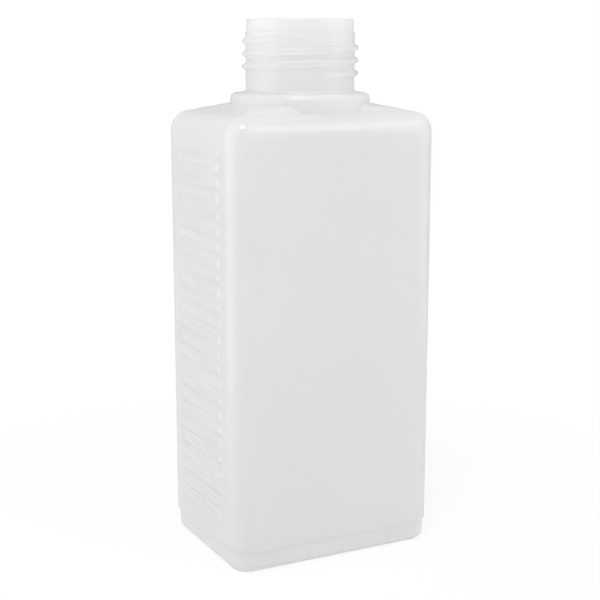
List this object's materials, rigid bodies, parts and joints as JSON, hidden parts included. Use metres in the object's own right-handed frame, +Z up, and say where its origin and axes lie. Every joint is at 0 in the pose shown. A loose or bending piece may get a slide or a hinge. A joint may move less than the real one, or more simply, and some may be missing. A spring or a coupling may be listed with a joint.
{
  "type": "square bottle",
  "caption": "Translucent rectangular blow-moulded bottle with ribbed narrow sides, a hipped shoulder, a stepped foot and a wide screw neck, shown without its cap.",
  "frame": {"origin": "middle of the standing surface under the base, on the axis of the neck", "axes": "+Z up along the neck, towards the rim; +X and -X face the two narrow ribbed sides; +Y and -Y face the two broad plain sides"},
  "size_m": [0.0736, 0.054, 0.1725],
  "materials": {
    "polyethylene": "satin, milky translucent"
  },
  "bodies": {
    "root": {"bottle": "polyethylene"}
  },
  "joints": []
}
